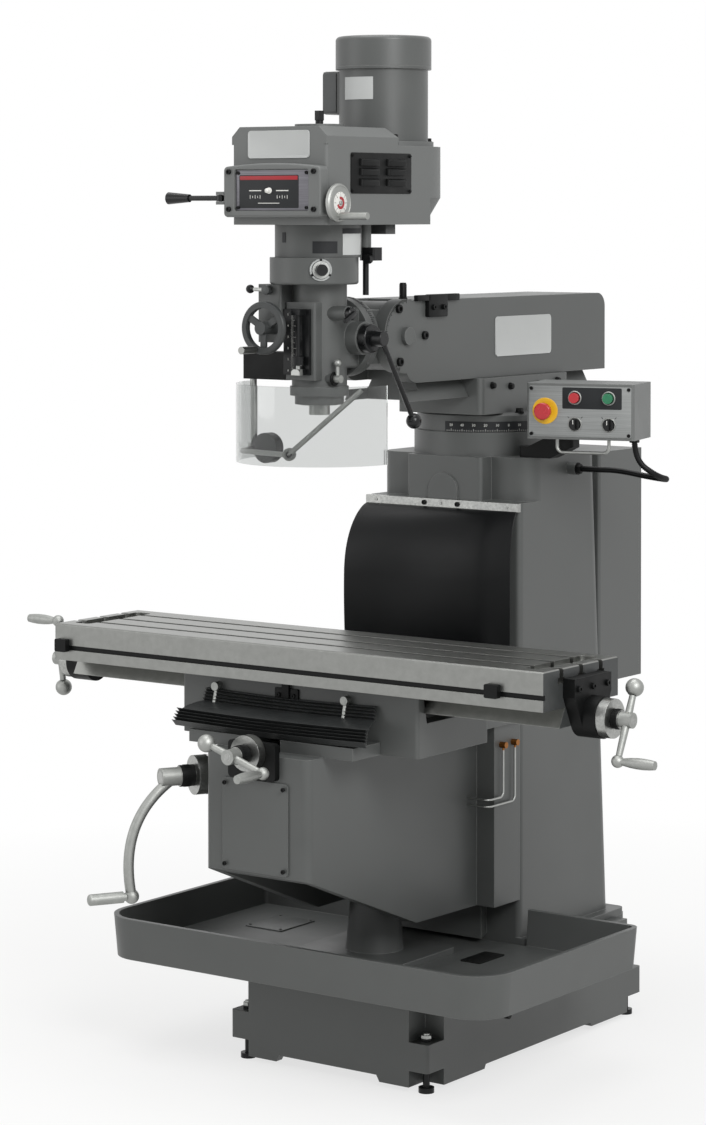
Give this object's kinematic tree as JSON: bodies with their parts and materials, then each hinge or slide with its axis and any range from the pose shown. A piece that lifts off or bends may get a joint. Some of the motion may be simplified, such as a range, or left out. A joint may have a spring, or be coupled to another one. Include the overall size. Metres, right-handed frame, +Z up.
{
  "type": "knee and column milling machine",
  "caption": "Vertical knee and column mill with a swivelling turret, sliding ram, tilting head with a feeding quill, T-slotted table and a coolant tray base.",
  "frame": {"origin": "on the floor under the base, on the machine's centre plane", "axes": "+X along the table to the operator's right, +Y from the operator into the machine, +Z up"},
  "size_m": [1.7866, 1.5156, 2.395],
  "materials": {
    "painted_casting": "semi-gloss machine enamel over cast iron",
    "light_casting": "semi-gloss enamel over cast aluminium",
    "ground_iron": "ground and scraped slideway iron",
    "sheet_steel": "painted sheet steel",
    "bright_steel": "turned steel",
    "plated_steel": "satin plated steel",
    "blackened_steel": "black enamel",
    "black_rubber": "moulded rubber",
    "black_plastic": "moulded phenolic",
    "brass": "turned brass with steel pipe",
    "red_plastic": "moulded red plastic",
    "green_plastic": "moulded green plastic",
    "clear_plastic": "clear polycarbonate"
  },
  "bodies": {
    "column": {"base": "painted_casting", "levelling_screws": "blackened_steel", "elevating_nut": "painted_casting", "column": "painted_casting", "apron_strip": "bright_steel", "column_apron": "black_rubber", "electrical_cabinet": "sheet_steel", "pendant_arm": "blackened_steel", "control_box": "light_casting", "pendant_handle": "plated_steel", "conduit": "black_rubber"},
    "cabinet_door": {"cabinet_door": "sheet_steel"},
    "emergency_stop": {"estop_button": "red_plastic"},
    "stop_button": {"stop_button": "red_plastic"},
    "start_button": {"start_button": "green_plastic"},
    "selector_left": {"selector_left": "black_plastic"},
    "selector_right": {"selector_right": "black_plastic"},
    "turret": {"turret": "painted_casting"},
    "ram": {"ram": "painted_casting", "knuckle_pin": "bright_steel"},
    "knuckle": {"knuckle": "painted_casting"},
    "head": {"quill_housing": "painted_casting", "feed_gear_case": "painted_casting", "back_gear_housing": "painted_casting", "belt_housing": "light_casting", "speed_panel": "light_casting", "motor": "painted_casting", "fan_cover": "sheet_steel", "depth_stop": "blackened_steel", "brake_linkage": "plated_steel", "guard_bracket": "blackened_steel"},
    "quill": {"quill": "bright_steel"},
    "spindle": {"spindle": "bright_steel"},
    "feed_lever": {"feed_lever": "plated_steel"},
    "feed_handwheel": {"feed_handwheel": "plated_steel"},
    "range_lever": {"range_lever": "plated_steel"},
    "speed_wheel": {"speed_wheel": "plated_steel"},
    "quill_lock": {"quill_lock": "plated_steel"},
    "feed_knob": {"feed_knob": "black_plastic"},
    "trip_lever": {"trip_lever": "plated_steel"},
    "guard": {"guard_frame": "plated_steel", "guard_shield": "clear_plastic"},
    "knee": {"knee": "painted_casting", "knee_cover": "sheet_steel", "cross_bracket": "blackened_steel", "oil_lines": "brass", "knee_bellows": "black_rubber"},
    "elevating_screw": {"elevating_screw": "bright_steel"},
    "elevating_crank": {"elevating_shaft": "bright_steel", "elevating_crank": "plated_steel"},
    "saddle": {"saddle": "painted_casting"},
    "saddle_lock_left": {"saddle_lock_left": "plated_steel"},
    "saddle_lock_right": {"saddle_lock_right": "plated_steel"},
    "cross_feed": {"cross_screw": "bright_steel", "cross_crank": "plated_steel"},
    "table": {"table": "ground_iron", "table_brackets": "blackened_steel", "trip_dogs": "bright_steel"},
    "table_feed": {"table_screw": "bright_steel", "table_cranks": "plated_steel"}
  },
  "joints": [
    {"name": "knee_lift", "type": "slide", "parent": "column", "child": "knee", "axis": [0, 0, 1], "range_m": [-0.02, 0.38], "deforming": ["column_apron"]},
    {"name": "elevating_screw_turn", "type": "hinge", "parent": "knee", "child": "elevating_screw", "pos_m": [0, -0.335, 0.745], "axis": [0, 0, 1], "continuous": true},
    {"name": "elevating_crank_turn", "type": "hinge", "parent": "knee", "child": "elevating_crank", "pos_m": [0, -0.335, 0.703], "axis": [-0.5, -0.866, 0], "continuous": true},
    {"name": "cross_slide", "type": "slide", "parent": "knee", "child": "saddle", "axis": [0, 1, 0], "range_m": [-0.06, 0.19]},
    {"name": "cross_crank_turn", "type": "hinge", "parent": "knee", "child": "cross_feed", "pos_m": [0, -0.79, 0.789], "axis": [0, 1, 0], "continuous": true},
    {"name": "table_slide", "type": "slide", "parent": "saddle", "child": "table", "axis": [1, 0, 0], "range_m": [-0.345, 0.345]},
    {"name": "table_crank_turn", "type": "hinge", "parent": "table", "child": "table_feed", "pos_m": [0, -0.5275, 0.9], "axis": [1, 0, 0], "continuous": true},
    {"name": "saddle_lock_left_turn", "type": "hinge", "parent": "saddle", "child": "saddle_lock_left", "pos_m": [-0.224, -0.637, 0.8967], "axis": [0, -1, 0], "range_deg": [-45, 45]},
    {"name": "saddle_lock_right_turn", "type": "hinge", "parent": "saddle", "child": "saddle_lock_right", "pos_m": [0.143, -0.637, 0.8967], "axis": [0, -1, 0], "range_deg": [-45, 45]},
    {"name": "turret_swivel", "type": "hinge", "parent": "column", "child": "turret", "pos_m": [0, 0.125, 1.457], "axis": [0, 0, -1], "range_deg": [-35, 45]},
    {"name": "ram_slide", "type": "slide", "parent": "turret", "child": "ram", "axis": [0, 1, 0], "range_m": [-0.2, 0.23]},
    {"name": "head_nod", "type": "hinge", "parent": "ram", "child": "knuckle", "pos_m": [0, -0.357, 1.7], "axis": [-1, 0, 0], "range_deg": [-40, 40]},
    {"name": "head_tilt", "type": "hinge", "parent": "knuckle", "child": "head", "pos_m": [0, -0.465, 1.7], "axis": [0, -1, 0], "range_deg": [-90, 90]},
    {"name": "quill_feed", "type": "slide", "parent": "head", "child": "quill", "axis": [0, 0, -1], "range_m": [0, 0.127]},
    {"name": "feed_lever_turn", "type": "hinge", "parent": "head", "child": "feed_lever", "pos_m": [0.095, -0.505, 1.7], "axis": [1, 0, 0], "range_deg": [0, 192]},
    {"name": "spindle_turn", "type": "hinge", "parent": "quill", "child": "spindle", "pos_m": [0, -0.552, 1.5257], "axis": [0, 0, 1], "continuous": true},
    {"name": "feed_handwheel_turn", "type": "hinge", "parent": "head", "child": "feed_handwheel", "pos_m": [-0.061, -0.64, 1.725], "axis": [0, -1, 0], "continuous": true},
    {"name": "range_lever_swing", "type": "hinge", "parent": "head", "child": "range_lever", "pos_m": [-0.154, -0.7185, 2.018], "axis": [0, 0, 1], "range_deg": [-20, 20]},
    {"name": "speed_wheel_turn", "type": "hinge", "parent": "head", "child": "speed_wheel", "pos_m": [0.133, -0.69, 2.007], "axis": [1, 0, 0], "continuous": true},
    {"name": "quill_lock_turn", "type": "hinge", "parent": "head", "child": "quill_lock", "pos_m": [0.063, -0.582, 1.61], "axis": [1, 0, 0], "range_deg": [-60, 60]},
    {"name": "feed_knob_turn", "type": "hinge", "parent": "head", "child": "feed_knob", "pos_m": [0.07142, -0.64342, 1.857], "axis": [0.7071, -0.7071, 0], "range_deg": [-60, 60]},
    {"name": "trip_lever_swing", "type": "hinge", "parent": "head", "child": "trip_lever", "pos_m": [-0.077, -0.64, 1.81], "axis": [0, -1, 0], "range_deg": [-25, 25]},
    {"name": "guard_swing", "type": "hinge", "parent": "head", "child": "guard", "pos_m": [-0.168, -0.58, 1.42], "axis": [0, 0, 1], "range_deg": [-110, 0]},
    {"name": "cabinet_door_swing", "type": "hinge", "parent": "column", "child": "cabinet_door", "pos_m": [-0.203, 0.53, 0.82], "axis": [0, 0, 1], "range_deg": [0, 110]},
    {"name": "emergency_stop_press", "type": "slide", "parent": "column", "child": "emergency_stop", "axis": [-0.2588, 0.9659, 0], "range_m": [0, 0.004], "stiffness_N_per_m": 800},
    {"name": "stop_press", "type": "slide", "parent": "column", "child": "stop_button", "axis": [-0.2588, 0.9659, 0], "range_m": [0, 0.004], "stiffness_N_per_m": 800},
    {"name": "start_press", "type": "slide", "parent": "column", "child": "start_button", "axis": [-0.2588, 0.9659, 0], "range_m": [0, 0.004], "stiffness_N_per_m": 800},
    {"name": "selector_left_turn", "type": "hinge", "parent": "column", "child": "selector_left", "pos_m": [0.37794, -0.0592, 1.491], "axis": [0.2588, -0.9659, 0], "range_deg": [-45, 45]},
    {"name": "selector_right_turn", "type": "hinge", "parent": "column", "child": "selector_right", "pos_m": [0.45715, -0.03798, 1.491], "axis": [0.2588, -0.9659, 0], "range_deg": [-45, 45]}
  ],
  "couplings": [
    {"joint": "elevating_screw_turn", "follows": "knee_lift", "rad_per_m": 1236.8},
    {"joint": "elevating_crank_turn", "follows": "knee_lift", "rad_per_m": 2473.7},
    {"joint": "cross_crank_turn", "follows": "cross_slide", "rad_per_m": 1236.8},
    {"joint": "table_crank_turn", "follows": "table_slide", "rad_per_m": 1236.8},
    {"joint": "feed_lever_turn", "follows": "quill_feed", "rad_per_m": 26.3}
  ]
}
